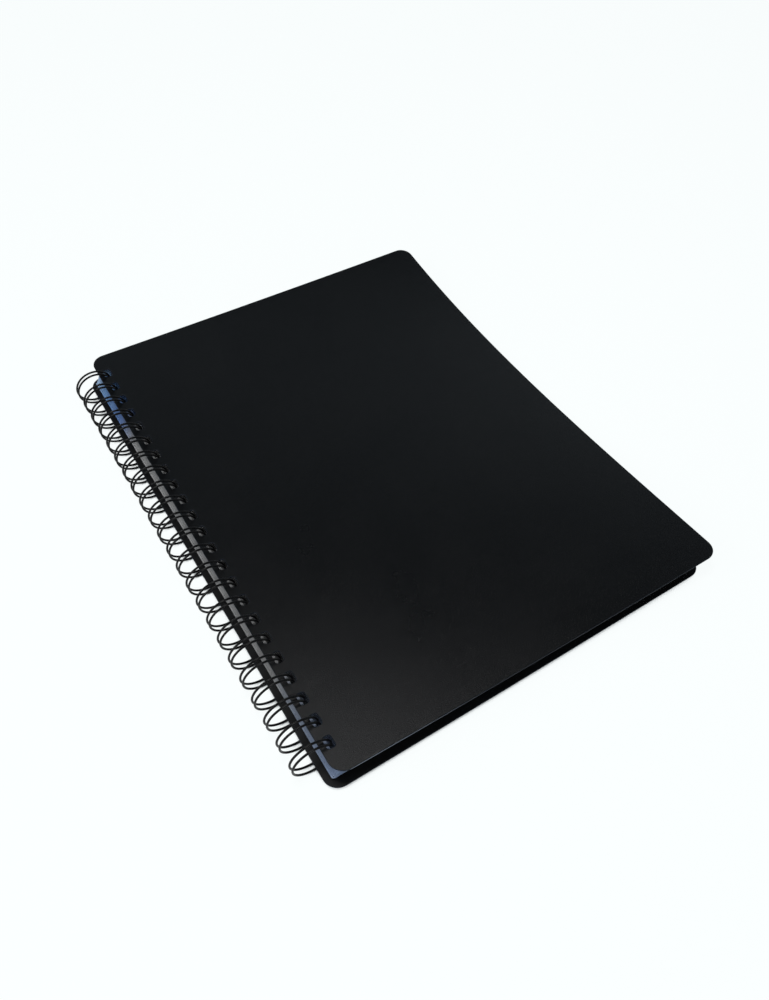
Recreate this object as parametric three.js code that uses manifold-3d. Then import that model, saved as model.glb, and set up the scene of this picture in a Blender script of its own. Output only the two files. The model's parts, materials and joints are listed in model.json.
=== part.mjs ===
// A music folder: two black plastic covers with clear pockets between them, all hung on one twin-loop wire.
// It lies closed on a table. X runs from the spine to the fore edge, Y up the page and Z up. Millimetres.
import * as THREE from "three";
import { mergeVertices } from "three/addons/utils/BufferGeometryUtils.js";
import Module from "manifold-3d";

const wasm = await Module();
wasm.setup();

// Covers
const frontCoverWidth = 235;
const backCoverWidth = 231;
const coverThickness = 0.8;
const coverCornerRadius = 8;
const coverEdgeToHole = 5.3;
const coverEndToHole = 16.3;

// Punched holes, the same row in every leaf
const holeCount = 23;
const holePitch = 12.7;
const holeWidth = 4.5;
const holeLength = 6.5;
const coverHoleCorner = 1.4;

// Twin-loop wire, measured on its middle line
const wireDiameter = 1;
const loopRadius = 10.9;
const twinSpacing = 3;
const rootBendRadius = 1.2;
const tipShortOfRoot = 0.7;
const wireEndLength = 2.5;

// Pockets: a back film with a thicker punched margin, and a front film welded to it on three sides
const pocketCount = 12;
const pocketWidth = 224;
const pocketEdgeToHole = 4.5;
const pocketEndToHole = 11.3;
const filmThickness = 0.12;
const pocketSpace = 0.1;
const weldGap = 0.04;
const weldWidth = 1.5;
const marginWidth = 8;
const mouthStep = 2;

// How the leaves lie on each other. The back cover rests on the wire at the spine and on the table at the
// fore edge. The wire slants through its holes, so that cover sits a little towards the spine.
// Every height and gap at the fore edge is measured where the back cover ends.
const backCoverSpineZ = 1.8;
const backCoverForeZ = 0;
const backCoverShift = 0.6;
const seatGap = 0.3;
const pocketPitchAtSpine = 0.95;
const pocketGapAtForeEdge = 0.15;

// Faces of the round forms
const cornerSteps = 6;
const loopSteps = 16;
const tipSteps = 4;
const bendSteps = 2;
const wireSides = 5;

// Sizes that follow from the ones above
const rowLength = (holeCount - 1) * holePitch;
const coverHeight = rowLength + 2 * coverEndToHole;
const pocketHeight = rowLength + 2 * pocketEndToHole;
const wireRadius = wireDiameter / 2;
const twinHalf = twinSpacing / 2;
const loopAxisZ = loopRadius + wireRadius;
const foreRun = backCoverWidth - coverEdgeToHole - backCoverShift;
const pocketThickness = 2 * filmThickness + pocketSpace;
const seamZ = backCoverSpineZ + coverThickness + seatGap + wireRadius;
const firstPocketSpineZ = seamZ + wireRadius + seatGap;
const firstPocketForeZ = backCoverForeZ + coverThickness + pocketGapAtForeEdge;
const pocketPitchAtForeEdge = pocketThickness + pocketGapAtForeEdge;

const coverMaterial = () => new THREE.MeshStandardMaterial({ color: 0x17181a, roughness: 0.55, metalness: 0 });
const wireMaterial = () => new THREE.MeshStandardMaterial({ color: 0x111214, roughness: 0.35, metalness: 0.3 });
const filmMaterial = () => new THREE.MeshStandardMaterial({
  color: 0xd4dee6, roughness: 0.12, metalness: 0, transparent: true, opacity: 0.45,
});

// The Y of a ring, numbered from 0 at the top of the page
function ringY(index) {
  return rowLength / 2 - index * holePitch;
}

// A closed three.js geometry as a solid that can be joined or cut
function solidOf(geometry) {
  geometry.deleteAttribute("normal");
  geometry.deleteAttribute("uv");
  const merged = mergeVertices(geometry);
  return new wasm.Manifold(new wasm.Mesh({
    numProp: 3,
    vertProperties: new Float32Array(merged.attributes.position.array),
    triVerts: new Uint32Array(merged.index.array),
  }));
}

function geometryOf(solid) {
  const mesh = solid.getMesh();
  const geometry = new THREE.BufferGeometry();
  geometry.setAttribute("position", new THREE.BufferAttribute(new Float32Array(mesh.vertProperties), 3));
  geometry.setIndex(new THREE.BufferAttribute(new Uint32Array(mesh.triVerts), 1));
  geometry.computeVertexNormals();
  return geometry;
}

// A flat plate between two corners, with its underside at a height of its own
function plate(x0, x1, y0, y1, z0, thickness) {
  const geometry = new THREE.BoxGeometry(x1 - x0, y1 - y0, thickness);
  geometry.translate((x0 + x1) / 2, (y0 + y1) / 2, z0 + thickness / 2);
  return geometry;
}

function extrude(shape, thickness) {
  return new THREE.ExtrudeGeometry(shape, { depth: thickness, bevelEnabled: false, curveSegments: cornerSteps });
}

// A rectangle with round corners, its spine edge at x = 0 and the middle of its height at y = 0
function roundedOutline(width, height, radius) {
  const shape = new THREE.Shape();
  const top = height / 2;
  shape.moveTo(radius, -top);
  shape.lineTo(width - radius, -top);
  shape.absarc(width - radius, -top + radius, radius, -Math.PI / 2, 0);
  shape.lineTo(width, top - radius);
  shape.absarc(width - radius, top - radius, radius, 0, Math.PI / 2);
  shape.lineTo(radius, top);
  shape.absarc(radius, top - radius, radius, Math.PI / 2, Math.PI);
  shape.lineTo(0, -top + radius);
  shape.absarc(radius, -top + radius, radius, Math.PI, 1.5 * Math.PI);
  return shape;
}

// The row of holes: rectangles whose corners are cut off by the size given, or square for a cut of 0
function punch(shape, edgeToHole, corner) {
  const halfX = holeWidth / 2;
  const halfY = holeLength / 2;
  const quarter = [[halfX - corner, halfY], [halfX, halfY - corner]];
  for (let index = 0; index < holeCount; index += 1) {
    const hole = new THREE.Path();
    const points = [];
    for (const [signX, signY, flip] of [[1, 1, false], [1, -1, true], [-1, -1, false], [-1, 1, true]]) {
      const pair = corner > 0 ? [...quarter] : [[halfX, halfY]];
      if (flip) {
        pair.reverse();
      }
      for (const [x, y] of pair) {
        points.push(new THREE.Vector2(edgeToHole + signX * x, ringY(index) + signY * y));
      }
    }
    hole.setFromPoints(points);
    shape.holes.push(hole);
  }
  return shape;
}

function coverGeometry(width) {
  const outline = roundedOutline(width, coverHeight, coverCornerRadius);
  return extrude(punch(outline, coverEdgeToHole, coverHoleCorner), coverThickness);
}

// The weld that joins a pocket's films: spine side, bottom and fore edge, open at the top
function weldOutline() {
  const bottom = -pocketHeight / 2;
  const top = pocketHeight / 2 - mouthStep;
  const shape = new THREE.Shape();
  shape.moveTo(marginWidth, top);
  shape.lineTo(marginWidth, bottom);
  shape.lineTo(pocketWidth, bottom);
  shape.lineTo(pocketWidth, top);
  shape.lineTo(pocketWidth - weldWidth, top);
  shape.lineTo(pocketWidth - weldWidth, bottom + weldWidth);
  shape.lineTo(marginWidth + weldWidth, bottom + weldWidth);
  shape.lineTo(marginWidth + weldWidth, top);
  shape.closePath();
  return shape;
}

function backFilmGeometry() {
  const half = pocketHeight / 2;
  const margin = new THREE.Shape([
    new THREE.Vector2(0, -half),
    new THREE.Vector2(marginWidth, -half),
    new THREE.Vector2(marginWidth, half),
    new THREE.Vector2(0, half),
  ]);
  const strip = solidOf(extrude(punch(margin, pocketEdgeToHole, 0), pocketThickness));
  const film = solidOf(plate(marginWidth - weldWidth / 2, pocketWidth, -half, half, 0, filmThickness));
  const weld = solidOf(extrude(weldOutline(), filmThickness + pocketSpace - weldGap));
  return geometryOf(strip.add(film).add(weld));
}

function frontFilmGeometry() {
  const half = pocketHeight / 2;
  const underside = filmThickness + pocketSpace;
  return plate(marginWidth + seatGap, pocketWidth, -half, half - mouthStep, underside, filmThickness);
}

// The wire's middle line lies on a cylinder about the loop axis. On the unrolled cylinder a point is
// its Y and its arc, the length round the cylinder from the root. Each ring leaves the root, runs
// round as one of its two loops, turns at the round tip and comes back as the other.
function wirePath() {
  const fullTurn = 2 * Math.PI * loopRadius;
  const tipStart = fullTurn - tipShortOfRoot - twinHalf;
  const points = [];
  const put = (y, arc) => points.push([y, arc]);
  const bend = (y, side, leaving) => {
    const turn = [];
    for (let step = 0; step <= bendSteps; step += 1) {
      const angle = (step / bendSteps) * (Math.PI / 2);
      turn.push([
        y + side * rootBendRadius * (1 - Math.sin(angle)),
        rootBendRadius * (1 - Math.cos(angle)),
      ]);
    }
    if (!leaving) {
      turn.reverse();
    }
    turn.forEach(([bendY, arc]) => put(bendY, arc));
  };
  put(ringY(0) + twinHalf + rootBendRadius + wireEndLength, 0);
  for (let index = 0; index < holeCount; index += 1) {
    const y = ringY(index);
    bend(y + twinHalf, 1, true);
    for (let step = 1; step <= loopSteps; step += 1) {
      put(y + twinHalf, rootBendRadius + (step / loopSteps) * (tipStart - rootBendRadius));
    }
    for (let step = 1; step < tipSteps; step += 1) {
      const angle = (step / tipSteps) * Math.PI;
      put(y + twinHalf * Math.cos(angle), tipStart + twinHalf * Math.sin(angle));
    }
    for (let step = loopSteps; step >= 1; step -= 1) {
      put(y - twinHalf, rootBendRadius + (step / loopSteps) * (tipStart - rootBendRadius));
    }
    bend(y - twinHalf, -1, false);
  }
  put(ringY(holeCount - 1) - twinHalf - rootBendRadius - wireEndLength, 0);
  return points;
}

const rootAngle = Math.asin((seamZ - loopAxisZ) / loopRadius);

// A point of the unrolled cylinder in space, about the loop axis
function rolled([y, arc]) {
  const angle = rootAngle + arc / loopRadius;
  return new THREE.Vector3(loopRadius * Math.cos(angle), y, loopRadius * Math.sin(angle));
}

// The least clear distance between two stretches of the wire that aren't neighbours along it
function leastGap(points) {
  const near = 3 * wireDiameter;
  const fine = [];
  for (let index = 0; index + 1 < points.length; index += 1) {
    const length = points[index].distanceTo(points[index + 1]);
    const pieces = Math.max(1, Math.ceil(length / wireRadius));
    for (let piece = 0; piece < pieces; piece += 1) {
      fine.push(points[index].clone().lerp(points[index + 1], piece / pieces));
    }
  }
  const along = [0];
  for (let index = 1; index < fine.length; index += 1) {
    along.push(along[index - 1] + fine[index].distanceTo(fine[index - 1]));
  }
  const reach = 2 * (2 * Math.PI * loopRadius) + 2 * holePitch;
  let least = Infinity;
  for (let first = 0; first < fine.length; first += 1) {
    for (let second = first + 1; second < fine.length; second += 1) {
      const apart = along[second] - along[first];
      if (apart > reach) {
        break;
      }
      const distance = fine[first].distanceTo(fine[second]);
      if (apart > near && distance < least && distance < apart * 0.75) {
        least = distance;
      }
    }
  }
  return least - wireDiameter;
}

// One unbroken tube along the path. Its section is turned by the outward direction of the cylinder.
function wireGeometry() {
  const path = wirePath().map(rolled);
  const positions = [];
  path.forEach((point, index) => {
    const before = path[Math.max(index - 1, 0)];
    const after = path[Math.min(index + 1, path.length - 1)];
    const tangent = after.clone().sub(before).normalize();
    const outward = new THREE.Vector3(point.x, 0, point.z).normalize();
    const across = tangent.clone().cross(outward).normalize();
    const normal = across.clone().cross(tangent).normalize();
    for (let side = 0; side < wireSides; side += 1) {
      const angle = (side / wireSides) * 2 * Math.PI;
      const vertex = point.clone()
        .addScaledVector(normal, wireRadius * Math.cos(angle))
        .addScaledVector(across, wireRadius * Math.sin(angle));
      positions.push(vertex.x, vertex.y, vertex.z);
    }
  });
  const index = [];
  for (let ring = 0; ring + 1 < path.length; ring += 1) {
    for (let side = 0; side < wireSides; side += 1) {
      const next = (side + 1) % wireSides;
      const a = ring * wireSides + side;
      const b = ring * wireSides + next;
      const c = a + wireSides;
      const d = b + wireSides;
      index.push(a, b, c, b, d, c);
    }
  }
  const last = (path.length - 1) * wireSides;
  for (let side = 1; side + 1 < wireSides; side += 1) {
    index.push(0, side + 1, side);
    index.push(last, last + side, last + side + 1);
  }
  const geometry = new THREE.BufferGeometry();
  geometry.setAttribute("position", new THREE.BufferAttribute(new Float32Array(positions), 3));
  geometry.setIndex(index);
  geometry.computeVertexNormals();
  console.log(`least gap of the wire to itself: ${leastGap(path).toFixed(2)} mm`);
  return geometry;
}

// The group that carries a leaf. Its origin is where the wire passes the leaf's mid-thickness, so the
// leaf hangs on the wire there and leans down to its height at the fore edge.
function leaf(edgeToWire, thickness, spineZ, foreZ) {
  const group = new THREE.Group();
  const middle = spineZ + thickness / 2 - loopAxisZ;
  group.position.set(Math.sqrt(loopRadius ** 2 - middle ** 2), 0, middle);
  group.rotation.y = Math.atan2(spineZ - foreZ, foreRun);
  const lay = (name, geometry, material) => {
    const mesh = new THREE.Mesh(geometry, material);
    mesh.name = name;
    mesh.position.set(-edgeToWire, 0, -thickness / 2);
    group.add(mesh);
  };
  return { group, lay };
}

// Everything is placed about the loop axis, then moved so that the origin is under the middle of the box
const folder = new THREE.Group();
const assembly = new THREE.Group();
folder.add(assembly);

const wire = new THREE.Mesh(wireGeometry(), wireMaterial());
wire.name = "wire_binding";
assembly.add(wire);

const back = leaf(coverEdgeToHole + backCoverShift, coverThickness, backCoverSpineZ, backCoverForeZ);
back.lay("back_cover", coverGeometry(backCoverWidth), coverMaterial());
assembly.add(back.group);

for (let index = 0; index < pocketCount; index += 1) {
  const label = `pocket_${String(index + 1).padStart(2, "0")}`;
  const spineZ = firstPocketSpineZ + index * pocketPitchAtSpine;
  const foreZ = firstPocketForeZ + index * pocketPitchAtForeEdge;
  const pocket = leaf(pocketEdgeToHole, pocketThickness, spineZ, foreZ);
  pocket.lay(`${label}_back_film`, backFilmGeometry(), filmMaterial());
  pocket.lay(`${label}_front_film`, frontFilmGeometry(), filmMaterial());
  assembly.add(pocket.group);
}

const frontSpineZ = firstPocketSpineZ + pocketCount * pocketPitchAtSpine;
const frontForeZ = firstPocketForeZ + pocketCount * pocketPitchAtForeEdge;
const front = leaf(coverEdgeToHole, coverThickness, frontSpineZ, frontForeZ);
front.lay("front_cover", coverGeometry(frontCoverWidth), coverMaterial());
assembly.add(front.group);

const box = new THREE.Box3().setFromObject(assembly, true);
assembly.position.set(-(box.min.x + box.max.x) / 2, 0, -box.min.z);
folder.updateMatrixWorld(true);
console.log(`loop axis at x = ${assembly.position.x.toFixed(3)}, z = ${assembly.position.z.toFixed(3)}`);

export default folder;
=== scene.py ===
# The looks of a closed music folder: black sand-grain covers, clear pockets and a black coated wire.
# The camera sees it from above its near-left corner, on a plain white ground. Metres.
import json
import math

import bmesh
import bpy
import numpy as np
from mathutils import Matrix, Vector

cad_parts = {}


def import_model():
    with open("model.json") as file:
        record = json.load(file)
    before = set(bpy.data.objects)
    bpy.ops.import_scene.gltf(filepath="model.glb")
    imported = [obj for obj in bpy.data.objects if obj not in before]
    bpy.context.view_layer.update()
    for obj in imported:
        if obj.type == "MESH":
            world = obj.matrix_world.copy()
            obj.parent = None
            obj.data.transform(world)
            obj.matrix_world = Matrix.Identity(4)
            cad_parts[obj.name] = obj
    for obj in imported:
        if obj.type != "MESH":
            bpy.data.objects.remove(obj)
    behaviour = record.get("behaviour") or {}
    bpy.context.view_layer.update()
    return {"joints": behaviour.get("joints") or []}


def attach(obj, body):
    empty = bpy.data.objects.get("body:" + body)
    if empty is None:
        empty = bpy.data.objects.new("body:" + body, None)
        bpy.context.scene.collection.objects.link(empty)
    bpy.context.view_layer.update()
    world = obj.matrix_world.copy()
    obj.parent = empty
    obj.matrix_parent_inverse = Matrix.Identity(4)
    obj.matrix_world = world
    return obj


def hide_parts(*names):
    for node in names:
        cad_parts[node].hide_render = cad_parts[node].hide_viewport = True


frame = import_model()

MM = 0.001

# The same sizes as the CAD, in millimetres
ROW_STEP = 12.7
HOLES = 23
ROW = (HOLES - 1) * ROW_STEP
LOOP_RADIUS = 10.9
WIRE_RADIUS = 0.5
TWIN_HALF = 1.5
ROOT_BEND = 1.2
TIP_SHORT = 0.7
WIRE_END = 2.5
AXIS_Z = LOOP_RADIUS + WIRE_RADIUS
AXIS_X = frame["joints"][0]["pos_m"][0] / MM
SEAM_Z = 3.4
BACK_SPINE_Z = 1.8
HOLE_X = 4.5
HOLE_Y = 6.5
COVER_END_TO_HOLE = 16.3
COVER_LENGTH = ROW + 2 * COVER_END_TO_HOLE
COVER_THICKNESS = 0.8
COVER_CORNER = 8
COVER_HOLE_CORNER = 1.4
FRONT_WIDTH = 235
BACK_WIDTH = 231
COVER_HOLE = 5.3
BACK_SHIFT = 0.6
FORE_RUN = BACK_WIDTH - COVER_HOLE - BACK_SHIFT
POCKETS = 12
POCKET_WIDTH = 224
POCKET_END_TO_HOLE = 11.3
POCKET_LENGTH = ROW + 2 * POCKET_END_TO_HOLE
POCKET_HOLE = 4.5
POCKET_CORNER = 1.5
POCKET_HOLE_CORNER = 0.5
POCKET_THICKNESS = 0.34
POCKET_MARGIN = 8
POCKET_MOUTH = 2
POCKET_SPINE_Z = 4.2
POCKET_SPINE_STEP = 0.95
POCKET_FORE_Z = 0.95
POCKET_FORE_STEP = 0.49
WELD = 1.5

# The look of the sheets, in millimetres. Films are thinner at the fore edge, where the cover presses them.
FILM = 0.05
FILM_SPACE = 0.03
FILM_AT_SPINE = 2.4
FILM_RIM = 0.8
COVER_ROUND = 0.3
BACK_HOLE_MORE = 0.4
BACK_HOLE_LESS = 0.95
WIRE_COAT = 0.1

# How finely the shapes are cut. The grid is shifted a little, so that it misses the points of the holes.
GRID = 10
GRID_SHIFT = 0.013
CORNER_STEPS = 12
HOLE_STEPS = 4
FILM_CORNER_STEPS = 3
FILM_HOLE_STEPS = 2
LOOP_STEPS = 44
TIP_STEPS = 10
BEND_STEPS = 5
WIRE_SIDES = 12

# Before a sheet is bent, its cut edge is where the normal's Z is below the first number, and its flat faces
# are where it is above the second. Bends sharper than the angle, in degrees, aren't shaded smooth.
CUT_BELOW = 0.97
FLAT_ABOVE = 0.999
SHARP_ANGLE = 50

# The front cover isn't flat. Its fore edge stands off its flat place by a cubic along the edge, its middle
# bows and the ends of its spine edge lift. The back cover's near fore corner lifts. Millimetres.
FRONT_FORE = (-3.35, -4.87, 10.0, 3.59)
FRONT_BOW = (-0.93, 3.5, -4.6)
FRONT_FAR_LIFT = 2.3
FRONT_NEAR_LIFT = 0.7
NEAR_LIFT_FROM = 0.6
BACK_NEAR_LIFT = 3.3

# How the leaves lie in the play of their holes: a turn about the line of holes, and a move in X and Y. A
# pocket's share of the front cover's place is its number in the stack and a little more.
FRONT_PLAY = (-0.0011, -0.34, 0.4)
BACK_PLAY = (0.003, -0.1, -0.15)
LOWEST_POCKET_PLAY = (0.005, -0.65, -0.2)
TOP_POCKET_PLAY = (0.0, 0.5, 0.9)
PLAY_PIVOT = AXIS_X + 8
LOWEST_SHARE = 0.2

# The films' tint on the page, and up their spine edge from the bottom of the page to its top a painted
# reflection
# of the studio light: blue at the ends and grey between, as the photograph shows the stack's edge
PAGE_TINT = (0.36, 0.4, 0.46)
PAINTED_REFLECTION_REACH = 15
SPINE_PAINTED_REFLECTION = (
    (0.0, (0.3, 0.38, 0.54)),
    (0.12, (0.32, 0.37, 0.46)),
    (0.2, (0.4, 0.4, 0.4)),
    (0.8, (0.37, 0.37, 0.37)),
    (0.87, (0.14, 0.24, 0.5)),
    (0.96, (0.2, 0.36, 0.62)),
    (1.0, (0.45, 0.6, 0.78)),
)
PAGE_SHARE = 0.8
RIM_SHARE = 1.0
FILM_CUT_SHARE = 1.2

# How much of the light a film stops: on its open page, more on its margin and welds, and at its sheared rim
PAGE_ALPHA = 0.12
DOUBLE_ALPHA = 0.12
RIM_ALPHA = 0.7
FILM_CUT_ALPHA = 0.8

# The covers' cut edge. The front cover's has a painted pale, bluish reflection along its near side, from the
# spine to a third of the way.
# The fade is by the share of that side's length.
COVER_CUT_COLOUR = (0.005, 0.0075, 0.012)
PAINTED_EDGE_REFLECTION = (0.17, 0.2, 0.245)
PAINTED_EDGE_REFLECTION_FADE = ((0.0, 1.0), (0.15, 1.0), (0.19, 0.7), (0.22, 0.5), (0.27, 0.25), (0.35, 0.0))

# The sky's light by the sine of the height above the horizon
SKY = (
    (0.0, (1.0, 1.0, 1.0)),
    (0.4, (0.46, 0.54, 0.6)),
    (0.64, (0.32, 0.38, 0.43)),
    (0.71, (0.04, 0.043, 0.047)),
    (1.0, (0.012, 0.013, 0.015)),
)

# The ground: half its side and its drop below zero, in metres, its colour to light and to the camera, and how
# far and how strongly it darkens beside the folder
GROUND_HALF = 6.0
GROUND_DROP = 0.0002
GROUND_COLOUR = (0.9, 0.93, 0.93)
GROUND_SEEN = (0.965, 1.0, 1.0)
GROUND_SEEN_SHARE = 0.95
CONTACT_REACH = 0.006
CONTACT_FADE = ((0.38, 0.0), (0.58, 1.0))

# The camera that the photograph's fit gave, in millimetres, degrees and pixels of the photograph
CAMERA_PLACE = (-167.68, -288.71, 405.8)
CAMERA_AZIMUTH = 31.79
CAMERA_ELEVATION = 52.35
CAMERA_ROLL = 0.15
FOCAL_PIXELS = 886.8
PHOTO_HEIGHT = 1000
SENSOR_HEIGHT = 24
CLIP_START = 0.01


# Materials

def material(name, specular):
    made = bpy.data.materials.new(name)
    made.use_nodes = True
    shader = made.node_tree.nodes["Principled BSDF"]
    shader.inputs["Specular IOR Level"].default_value = specular
    return made, made.node_tree, shader


def node(tree, kind, **settings):
    made = tree.nodes.new(kind)
    for key, value in settings.items():
        if key in made.inputs:
            made.inputs[key].default_value = value
        else:
            setattr(made, key, value)
    return made


def in_place(tree, kind, **settings):
    """A node that reads the piece's own coordinates."""
    made = node(tree, kind, **settings)
    tree.links.new(node(tree, "ShaderNodeTexCoord").outputs["Object"], made.inputs["Vector"])
    return made


def flat_place(tree):
    """The sheet's own flat place in metres, which its UV map holds: from the spine edge, and up the page."""
    flat = node(tree, "ShaderNodeSeparateXYZ")
    tree.links.new(node(tree, "ShaderNodeUVMap", uv_map="flat").outputs["UV"], flat.inputs["Vector"])
    return flat.outputs["X"], flat.outputs["Y"]


def bump(tree, shader, height, distance, strength):
    made = node(tree, "ShaderNodeBump", Strength=strength, Distance=distance)
    tree.links.new(height, made.inputs["Height"])
    tree.links.new(made.outputs["Normal"], shader.inputs["Normal"])


def math_node(tree, operation, a, b, clamp=False):
    made = node(tree, "ShaderNodeMath", operation=operation, use_clamp=clamp)
    for socket, value in zip(made.inputs, (a, b)):
        if isinstance(value, (int, float)):
            socket.default_value = value
        else:
            tree.links.new(value, socket)
    return made.outputs[0]


def ramp(tree, source, stops):
    made = tree.nodes.new("ShaderNodeValToRGB")
    elements = made.color_ramp.elements
    while len(elements) < len(stops):
        elements.new(0.5)
    for element, (place, value) in zip(elements, stops):
        element.position = place
        element.color = (*value, 1) if isinstance(value, tuple) else (value, value, value, 1)
    tree.links.new(source, made.inputs["Fac"])
    return made.outputs["Color"]


def mixed(tree, share, first, second):
    """Goes from the first colour to the second by the share. A colour is a socket or three numbers."""
    made = node(tree, "ShaderNodeMixRGB")
    tree.links.new(share, made.inputs["Fac"])
    for key, colour in (("Color1", first), ("Color2", second)):
        if isinstance(colour, tuple):
            made.inputs[key].default_value = (*colour, 1)
        else:
            tree.links.new(colour, made.inputs[key])
    return made.outputs["Color"]


def cover_material():
    made, tree, shader = material("cover_plastic", 0.22)
    grain = in_place(tree, "ShaderNodeTexVoronoi", Scale=2600.0)
    fine = in_place(tree, "ShaderNodeTexNoise", Scale=4200.0, Detail=3.0)
    cloud = in_place(tree, "ShaderNodeTexNoise", Scale=22.0, Detail=4.0)
    both = math_node(tree, "ADD", grain.outputs["Distance"], fine.outputs["Fac"])
    bump(tree, shader, both, 0.00012, 0.45)
    tree.links.new(ramp(tree, cloud.outputs["Fac"], ((0.3, 0.27), (0.7, 0.32))), shader.inputs["Roughness"])
    stops = ((0.3, (0.0008, 0.001, 0.0012)), (0.75, (0.0018, 0.0021, 0.0026)))
    tree.links.new(ramp(tree, fine.outputs["Fac"], stops), shader.inputs["Base Color"])
    return made


def skin_material(name, colour, scale, detail, relief, strength, roughness):
    """A plain black surface with a fine skin, which carries its relief and its two ends of roughness."""
    made, tree, shader = material(name, 0.15)
    shader.inputs["Base Color"].default_value = (*colour, 1)
    skin = in_place(tree, "ShaderNodeTexNoise", Scale=scale, Detail=detail).outputs["Fac"]
    bump(tree, shader, skin, relief, strength)
    tree.links.new(ramp(tree, skin, tuple(zip((0.3, 0.7), roughness))), shader.inputs["Roughness"])
    return made


def cut_material(name, roughness, specular):
    """A cut edge with the marks that the blade dragged along it."""
    made, tree, shader = material(name, specular)
    shader.inputs["Roughness"].default_value = roughness
    drag = in_place(tree, "ShaderNodeTexNoise", Scale=900.0, Detail=3.0).outputs["Fac"]
    bump(tree, shader, drag, 0.00004, 0.5)
    return made, tree, shader, drag


def cover_cut_material(name):
    made, tree, shader, drag = cut_material(name, 0.5, 0.12)
    stops = [(at, tuple(share * part for part in COVER_CUT_COLOUR)) for at, share in ((0.3, 0.8), (0.7, 1.2))]
    tree.links.new(ramp(tree, drag, stops), shader.inputs["Base Color"])
    return made


def front_cut_material():
    made = cover_cut_material("front_cover_cut_edge_painted_reflection")
    tree = made.node_tree
    base = tree.nodes["Principled BSDF"].inputs["Base Color"]
    across, up = flat_place(tree)
    # Painted reflection: a pale bluish band on the cut edge along the near side, fading from the spine corner
    near = math_node(tree, "LESS_THAN", up, -(COVER_LENGTH / 2 - COVER_ROUND / 5) * MM)
    along = math_node(tree, "DIVIDE", across, FRONT_WIDTH * MM)
    lit = math_node(tree, "MULTIPLY", near, ramp(tree, along, PAINTED_EDGE_REFLECTION_FADE))
    tree.links.new(mixed(tree, lit, base.links[0].from_socket, PAINTED_EDGE_REFLECTION), base)
    return made


def film_tint_and_painted_reflection(tree, share):
    """One tint on the page, and a painted reflection in tints up the spine edge."""
    split = in_place(tree, "ShaderNodeSeparateXYZ")
    along = math_node(tree, "DIVIDE", split.outputs["Y"], POCKET_LENGTH * MM)
    along = math_node(tree, "ADD", along, 0.5, True)
    # The spine edge's tints are a painted reflection, blue at the ends and grey between
    stops = [(at, tuple(share * part for part in tint)) for at, tint in SPINE_PAINTED_REFLECTION]
    at_spine = math_node(tree, "LESS_THAN", split.outputs["X"], (AXIS_X + PAINTED_REFLECTION_REACH) * MM)
    return mixed(tree, at_spine, tuple(share * part for part in PAGE_TINT), ramp(tree, along, stops))


def film_material():
    made, tree, shader = material("pocket_film", 0.5)
    across, up = flat_place(tree)
    bottom = -POCKET_LENGTH / 2

    def inside(value, low, high):
        above = math_node(tree, "GREATER_THAN", value, low * MM)
        below = math_node(tree, "LESS_THAN", value, high * MM)
        return math_node(tree, "MULTIPLY", above, below)

    def either(a, b):
        return math_node(tree, "MAXIMUM", a, b)

    side_weld = either(inside(across, POCKET_MARGIN, POCKET_MARGIN + WELD),
                       inside(across, POCKET_WIDTH - WELD, POCKET_WIDTH))
    weld = either(side_weld, inside(up, bottom, bottom + WELD))
    margin = math_node(tree, "LESS_THAN", across, POCKET_MARGIN * MM)
    sheared = either(math_node(tree, "LESS_THAN", across, FILM_RIM * MM),
                     math_node(tree, "LESS_THAN", up, (bottom + FILM_RIM) * MM))

    ripple = in_place(tree, "ShaderNodeTexNoise", Scale=14.0, Detail=2.0)
    beads = in_place(tree, "ShaderNodeTexWave", Scale=700.0, wave_type="BANDS", bands_direction="DIAGONAL")
    relief = math_node(tree, "MULTIPLY", beads.outputs["Fac"], weld)
    relief = math_node(tree, "MULTIPLY", relief, 0.15)
    bump(tree, shader, math_node(tree, "ADD", relief, ripple.outputs["Fac"]), 0.0006, 0.5)
    rough = math_node(tree, "MULTIPLY", weld, 0.25)
    tree.links.new(math_node(tree, "ADD", rough, 0.14), shader.inputs["Roughness"])

    double = math_node(tree, "MULTIPLY", either(weld, margin), DOUBLE_ALPHA)
    alpha = math_node(tree, "ADD", double, PAGE_ALPHA)
    alpha = either(alpha, math_node(tree, "MULTIPLY", sheared, RIM_ALPHA))
    tree.links.new(alpha, shader.inputs["Alpha"])
    colour = mixed(tree, sheared, film_tint_and_painted_reflection(tree, PAGE_SHARE), film_tint_and_painted_reflection(tree, RIM_SHARE))
    tree.links.new(colour, shader.inputs["Base Color"])
    return made


def film_cut_material():
    made, tree, shader, _ = cut_material("film_cut_edge", 0.3, 0.5)
    shader.inputs["Alpha"].default_value = FILM_CUT_ALPHA
    tree.links.new(film_tint_and_painted_reflection(tree, FILM_CUT_SHARE), shader.inputs["Base Color"])
    return made


COVER = cover_material()
COVER_INSIDE = skin_material("cover_inside", (0.0012, 0.0014, 0.0017), 60.0, 3.0, 0.0001, 0.3, (0.52, 0.6))
COVER_CUT = cover_cut_material("cover_cut_edge")
FRONT_CUT = front_cut_material()
WIRE = skin_material("wire_coating", (0.0008, 0.0008, 0.001), 1500.0, 2.0, 0.00003, 0.4, (0.24, 0.38))
FILM_FACE = film_material()
FILM_LOOKS = (FILM_FACE, film_cut_material(), FILM_FACE)


# Sheets

def rounded_loop(x0, x1, y0, y1, radius, steps):
    points = []
    corners = ((x1 - radius, y1 - radius, 0), (x0 + radius, y1 - radius, 90),
               (x0 + radius, y0 + radius, 180), (x1 - radius, y0 + radius, 270))
    for cx, cy, start in corners:
        for step in range(steps + 1):
            angle = math.radians(start + 90 * step / steps)
            points.append((cx + radius * math.cos(angle), cy + radius * math.sin(angle)))
    return points


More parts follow.
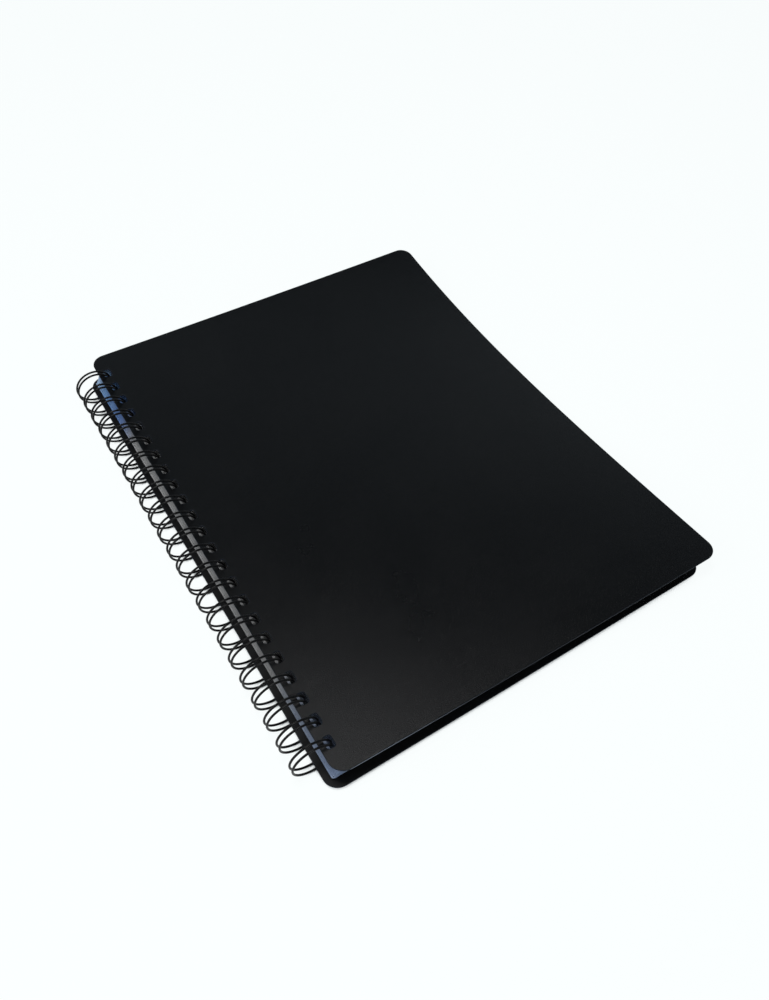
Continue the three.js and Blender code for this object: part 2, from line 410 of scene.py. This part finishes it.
def hole_row(edge_to_hole, less, more, radius, steps):
    left = edge_to_hole - HOLE_X / 2 + less
    right = edge_to_hole + HOLE_X / 2 + more
    middles = [ROW / 2 - index * ROW_STEP for index in range(HOLES)]
    return [rounded_loop(left, right, y - HOLE_Y / 2, y + HOLE_Y / 2, radius, steps) for y in middles]


def flat_sheet(name, outline, holes, thickness, edge_round):
    """A flat closed sheet in millimetres, from z = 0 to its thickness, cut into a grid that can bend."""
    curve = bpy.data.curves.new(name, "CURVE")
    curve.dimensions = "2D"
    curve.fill_mode = "BOTH"
    curve.extrude = thickness / 2 - edge_round
    curve.bevel_depth = edge_round
    curve.bevel_resolution = 1
    curve.offset = -edge_round
    for loop in [outline] + holes:
        spline = curve.splines.new("POLY")
        spline.points.add(len(loop) - 1)
        for point, (x, y) in zip(spline.points, loop):
            point.co = (x, y, 0, 1)
        spline.use_cyclic_u = True
    holder = bpy.data.objects.new(name, curve)
    bpy.context.scene.collection.objects.link(holder)
    bpy.context.view_layer.update()
    evaluated = holder.evaluated_get(bpy.context.evaluated_depsgraph_get())
    mesh = bpy.data.meshes.new_from_object(evaluated)
    bpy.data.objects.remove(holder)
    bpy.data.curves.remove(curve)
    made = bmesh.new()
    made.from_mesh(mesh)
    bpy.data.meshes.remove(mesh)
    bmesh.ops.remove_doubles(made, verts=made.verts, dist=0.002)
    bmesh.ops.translate(made, verts=made.verts, vec=(0, 0, thickness / 2))
    for axis, places in enumerate(zip(*outline)):
        low, high = min(places), max(places)
        count = max(1, round((high - low) / GRID))
        for step in range(1, count):
            place = [0, 0, 0]
            normal = [0, 0, 0]
            place[axis] = low + (high - low) * step / count + GRID_SHIFT
            normal[axis] = 1
            parts = made.verts[:] + made.edges[:] + made.faces[:]
            bmesh.ops.bisect_plane(made, geom=parts, dist=1e-5, plane_co=place, plane_no=normal)
    return made


def bent_piece(name, flat, bend, looks, body, replaced):
    """Bends a flat sheet into place and hands it to its body. The looks are top, cut edge and bottom."""
    layer = flat.loops.layers.uv.new("flat")
    flat.normal_update()
    for face in flat.faces:
        face.material_index = 1 if abs(face.normal.z) < CUT_BELOW else 0 if face.normal.z > 0 else 2
        for loop in face.loops:
            x, y, _ = loop.vert.co
            loop[layer].uv = (x * MM, y * MM)
    for edge in flat.edges:
        level = [abs(face.normal.z) > FLAT_ABOVE for face in edge.link_faces]
        edge.smooth = all(level) or not any(level)
    for vert in flat.verts:
        vert.co = Vector(bend(*vert.co)) * MM
    bmesh.ops.recalc_face_normals(flat, faces=flat.faces)
    for face in flat.faces:
        face.smooth = True
    for edge in flat.edges:
        if edge.is_manifold and edge.calc_face_angle() > math.radians(SHARP_ANGLE):
            edge.smooth = False
    mesh = bpy.data.meshes.new(name)
    flat.to_mesh(mesh)
    flat.free()
    for look in looks:
        mesh.materials.append(look)
    piece = bpy.data.objects.new(name, mesh)
    bpy.context.scene.collection.objects.link(piece)
    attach(piece, body)
    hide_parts(*replaced)


class Leaf:
    """Where a flat leaf lies: hung on the wire at its holes and leaning to its height at the fore edge."""

    def __init__(self, edge_to_wire, thickness, spine_z, fore_z):
        middle = spine_z + thickness / 2 - AXIS_Z
        self.x = AXIS_X + math.sqrt(LOOP_RADIUS ** 2 - middle ** 2)
        self.z = spine_z + thickness / 2
        self.edge = edge_to_wire
        self.half = thickness / 2
        angle = math.atan2(spine_z - fore_z, FORE_RUN)
        self.cos = math.cos(angle)
        self.sin = math.sin(angle)

    def place(self, x, y, height):
        a = x - self.edge
        b = height - self.half
        return self.x + self.cos * a + self.sin * b, y, self.z - self.sin * a + self.cos * b


def front_rise(x, y):
    """The front cover's height off its flat place. u is 1 at its fore edge, and v is -1 at its near edge."""
    u = x / FRONT_WIDTH
    v = 2 * y / COVER_LENGTH
    fore = sum(size * v ** power for power, size in enumerate(FRONT_FORE))
    bow = sum(size * v ** power for power, size in enumerate(FRONT_BOW))
    far = FRONT_FAR_LIFT * max(v, 0) ** 2
    near = FRONT_NEAR_LIFT * (max(-v - NEAR_LIFT_FROM, 0) / (1 - NEAR_LIFT_FROM)) ** 2
    return u * fore + u * (1 - u) * bow + (1 - u) * (far + near)


def back_rise(x, y):
    u = x / BACK_WIDTH
    w = 0.5 - y / COVER_LENGTH
    return BACK_NEAR_LIFT * u * u * w * w


def turned(x, y, z, play):
    turn, move_x, move_y = play
    cos, sin = math.cos(turn), math.sin(turn)
    dx = x - PLAY_PIVOT
    return PLAY_PIVOT + cos * dx - sin * y + move_x, sin * dx + cos * y + move_y, z


def bend_of(leaf, rise, play, thicker=lambda x: 1):
    """The bend that lays a flat sheet on its leaf's place, lets it rise and turns it in its play."""
    def bend(x, y, height):
        px, py, pz = leaf.place(x, y, height * thicker(x))
        return turned(px, py, pz + rise(x, y), play)

    return bend


def cover(name, width, hole_less, hole_more, bend, looks, body, replaced):
    half = COVER_LENGTH / 2
    outline = rounded_loop(0, width, -half, half, COVER_CORNER, CORNER_STEPS)
    holes = hole_row(COVER_HOLE, hole_less, hole_more, COVER_HOLE_CORNER, HOLE_STEPS)
    flat = flat_sheet(name, outline, holes, COVER_THICKNESS, COVER_ROUND)
    bent_piece(name, flat, bend, looks, body, replaced)


back_leaf = Leaf(COVER_HOLE + BACK_SHIFT, COVER_THICKNESS, BACK_SPINE_Z, 0)
front_leaf = Leaf(COVER_HOLE, COVER_THICKNESS, POCKET_SPINE_Z + POCKETS * POCKET_SPINE_STEP,
                  POCKET_FORE_Z + POCKETS * POCKET_FORE_STEP)
cover("back_cover_sheet", BACK_WIDTH, BACK_HOLE_LESS, BACK_HOLE_MORE,
      bend_of(back_leaf, back_rise, BACK_PLAY), (COVER_INSIDE, COVER_CUT, COVER), "spine", ["back_cover"])
cover("front_cover_sheet", FRONT_WIDTH, 0, 0,
      bend_of(front_leaf, front_rise, FRONT_PLAY), (COVER, FRONT_CUT, COVER_INSIDE), "front", ["front_cover"])


def film_thicker(x):
    return 1 + (FILM_AT_SPINE - 1) * (1 - x / POCKET_WIDTH)


def pocket_bend(index):
    """A pocket lies between the back cover and the front cover, and follows both by its share."""
    share = (index + LOWEST_SHARE) / POCKETS
    play = [share * top + (1 - share) * low for top, low in zip(TOP_POCKET_PLAY, LOWEST_POCKET_PLAY)]
    leaf = Leaf(POCKET_HOLE, POCKET_THICKNESS, POCKET_SPINE_Z + index * POCKET_SPINE_STEP,
                POCKET_FORE_Z + index * POCKET_FORE_STEP)
    return bend_of(leaf, lambda x, y: share * front_rise(x, y) + (1 - share) * back_rise(x, y),
                   play, film_thicker)


def film(label, side, left, top, holes, bend, lift):
    outline = rounded_loop(left, POCKET_WIDTH, -POCKET_LENGTH / 2, top, POCKET_CORNER, FILM_CORNER_STEPS)
    flat = flat_sheet(label, outline, holes, FILM, 0)
    bmesh.ops.translate(flat, verts=flat.verts, vec=(0, 0, lift))
    bent_piece(f"{label}_{side}_sheet", flat, bend, FILM_LOOKS, label, [f"{label}_{side}_film"])


for index in range(POCKETS):
    label = f"pocket_{index + 1:02d}"
    bend = pocket_bend(index)
    holes = hole_row(POCKET_HOLE, 0, 0, POCKET_HOLE_CORNER, FILM_HOLE_STEPS)
    film(label, "back", 0, POCKET_LENGTH / 2, holes, bend, 0)
    film(label, "front", POCKET_MARGIN, POCKET_LENGTH / 2 - POCKET_MOUTH, [], bend, FILM + FILM_SPACE)


# The wire

def wire_path():
    """The wire on the unrolled cylinder: its place along the spine, and its arc up from the root line."""
    tip_start = 2 * math.pi * LOOP_RADIUS - TIP_SHORT - TWIN_HALF
    run = (tip_start - ROOT_BEND) / LOOP_STEPS
    arcs = [ROOT_BEND + step * run for step in range(1, LOOP_STEPS + 1)]
    end = ROW / 2 + TWIN_HALF + ROOT_BEND + WIRE_END

    def bend(y, side):
        turn = []
        for step in range(BEND_STEPS + 1):
            angle = step / BEND_STEPS * math.pi / 2
            turn.append((y + side * ROOT_BEND * (1 - math.sin(angle)), ROOT_BEND * (1 - math.cos(angle))))
        return turn

    points = [(end, 0)]
    for index in range(HOLES):
        y = ROW / 2 - index * ROW_STEP
        points += bend(y + TWIN_HALF, 1)
        points += [(y + TWIN_HALF, arc) for arc in arcs]
        for step in range(1, TIP_STEPS):
            angle = step / TIP_STEPS * math.pi
            points.append((y + TWIN_HALF * math.cos(angle), tip_start + TWIN_HALF * math.sin(angle)))
        points += [(y - TWIN_HALF, arc) for arc in reversed(arcs)]
        points += reversed(bend(y - TWIN_HALF, -1))
    points.append((-end, 0))
    return points


def wire_mesh(name):
    root = math.asin((SEAM_Z - AXIS_Z) / LOOP_RADIUS)
    path = np.array(wire_path())
    angle = root + path[:, 1] / LOOP_RADIUS
    outward = np.stack([np.cos(angle), 0 * angle, np.sin(angle)], 1)
    middle = outward * LOOP_RADIUS
    middle[:, 1] = path[:, 0]
    tangent = np.gradient(middle, axis=0)
    tangent /= np.linalg.norm(tangent, axis=1, keepdims=True)
    across = np.cross(tangent, outward)
    across /= np.linalg.norm(across, axis=1, keepdims=True)
    normal = np.cross(across, tangent)
    around = np.arange(WIRE_SIDES) / WIRE_SIDES * 2 * math.pi
    circle = normal[:, None] * np.cos(around)[:, None] + across[:, None] * np.sin(around)[:, None]
    ring = middle[:, None] + (WIRE_RADIUS + WIRE_COAT) * circle
    ring += np.array([AXIS_X, 0, AXIS_Z])
    rings = [[k * WIRE_SIDES + s for s in range(WIRE_SIDES)] for k in range(len(path))]
    faces = []
    for low, high in zip(rings, rings[1:]):
        for s in range(WIRE_SIDES):
            t = (s + 1) % WIRE_SIDES
            faces.append((low[s], low[t], high[t], high[s]))
    faces += [rings[0][::-1], rings[-1]]
    mesh = bpy.data.meshes.new(name)
    mesh.from_pydata([tuple(p) for p in (ring.reshape(-1, 3) * MM)], [], faces)
    made = bmesh.new()
    made.from_mesh(mesh)
    bmesh.ops.recalc_face_normals(made, faces=made.faces)
    made.to_mesh(mesh)
    made.free()
    mesh.polygons.foreach_set("use_smooth", [True] * len(mesh.polygons))
    mesh.materials.append(WIRE)
    return mesh


wire = bpy.data.objects.new("wire_smooth", wire_mesh("wire_smooth"))
bpy.context.scene.collection.objects.link(wire)
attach(wire, "spine")
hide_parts("wire_binding")


# Ground, light and camera

def ground():
    """White to the camera and in reflections, and a shaded floor close beside the folder."""
    mesh = bpy.data.meshes.new("ground")
    corners = [(x * GROUND_HALF, y * GROUND_HALF, 0) for x, y in ((-1, -1), (1, -1), (1, 1), (-1, 1))]
    mesh.from_pydata(corners, [], [(0, 1, 2, 3)])
    floor = bpy.data.objects.new("ground", mesh)
    floor.location.z = -GROUND_DROP
    bpy.context.scene.collection.objects.link(floor)
    made, tree, shader = material("ground_white", 0.0)
    shader.inputs["Base Color"].default_value = (*GROUND_COLOUR, 1)
    shader.inputs["Roughness"].default_value = 0.9
    white = node(tree, "ShaderNodeEmission", Strength=1.0, Color=(*GROUND_SEEN, 1))
    rays = tree.nodes.new("ShaderNodeLightPath")
    seen = math_node(tree, "MAXIMUM", rays.outputs["Is Camera Ray"], rays.outputs["Is Transmission Ray"])
    seen = math_node(tree, "MAXIMUM", seen, rays.outputs["Is Glossy Ray"])
    near = node(tree, "ShaderNodeAmbientOcclusion", samples=8, Distance=CONTACT_REACH).outputs["AO"]
    clear = math_node(tree, "MULTIPLY", ramp(tree, near, CONTACT_FADE), GROUND_SEEN_SHARE)
    mix = tree.nodes.new("ShaderNodeMixShader")
    tree.links.new(math_node(tree, "MULTIPLY", seen, clear), mix.inputs["Fac"])
    tree.links.new(shader.outputs["BSDF"], mix.inputs[1])
    tree.links.new(white.outputs["Emission"], mix.inputs[2])
    tree.links.new(mix.outputs["Shader"], tree.nodes["Material Output"].inputs["Surface"])
    mesh.materials.append(made)


def world():
    """A white horizon under a dark ceiling. The camera sees it white all over."""
    made = bpy.data.worlds.new("studio")
    made.use_nodes = True
    bpy.context.scene.world = made
    tree = made.node_tree
    rays = tree.nodes.new("ShaderNodeLightPath")
    split = tree.nodes.new("ShaderNodeSeparateXYZ")
    tree.links.new(node(tree, "ShaderNodeTexCoord").outputs["Generated"], split.inputs["Vector"])
    seen = math_node(tree, "MAXIMUM", rays.outputs["Is Camera Ray"], rays.outputs["Is Transmission Ray"])
    colour = mixed(tree, seen, ramp(tree, split.outputs["Z"], SKY), (1, 1, 1))
    tree.links.new(colour, tree.nodes["Background"].inputs["Color"])


def lamp(name, place, target, size, power):
    light = bpy.data.lights.new(name, "AREA")
    light.shape = "RECTANGLE"
    light.size, light.size_y = size
    light.energy = power
    holder = bpy.data.objects.new(name, light)
    holder.location = place
    holder.rotation_euler = (Vector(target) - Vector(place)).to_track_quat("-Z", "Y").to_euler()
    bpy.context.scene.collection.objects.link(holder)


def camera():
    azimuth, elevation = math.radians(CAMERA_AZIMUTH), math.radians(CAMERA_ELEVATION)
    level = math.cos(elevation)
    forward = Vector((math.sin(azimuth) * level, math.cos(azimuth) * level, -math.sin(elevation)))
    right = Vector((math.cos(azimuth), -math.sin(azimuth), 0))
    right = Matrix.Rotation(math.radians(-CAMERA_ROLL), 3, forward) @ right
    up = right.cross(forward)
    data = bpy.data.cameras.new("camera")
    data.sensor_fit = "VERTICAL"
    data.sensor_height = SENSOR_HEIGHT
    data.lens = SENSOR_HEIGHT * FOCAL_PIXELS / PHOTO_HEIGHT
    data.clip_start = CLIP_START
    holder = bpy.data.objects.new("camera", data)
    rotation = Matrix((right, up, -forward)).transposed()
    holder.matrix_world = Matrix.Translation(Vector(CAMERA_PLACE) * MM) @ rotation.to_4x4()
    bpy.context.scene.collection.objects.link(holder)
    bpy.context.scene.camera = holder


ground()
world()
lamp("overhead", place=(-0.11, -0.05, 0.9), target=(-0.05, 0, 0), size=(0.25, 0.25), power=5)
lamp("left", place=(-1.2, 0.1, 0.7), target=(-0.05, 0, 0), size=(0.9, 0.7), power=9)
lamp("front", place=(0.1, -1.3, 0.7), target=(0, 0, 0), size=(0.9, 0.6), power=3)
camera()

bpy.context.scene.view_settings.view_transform = "Standard"
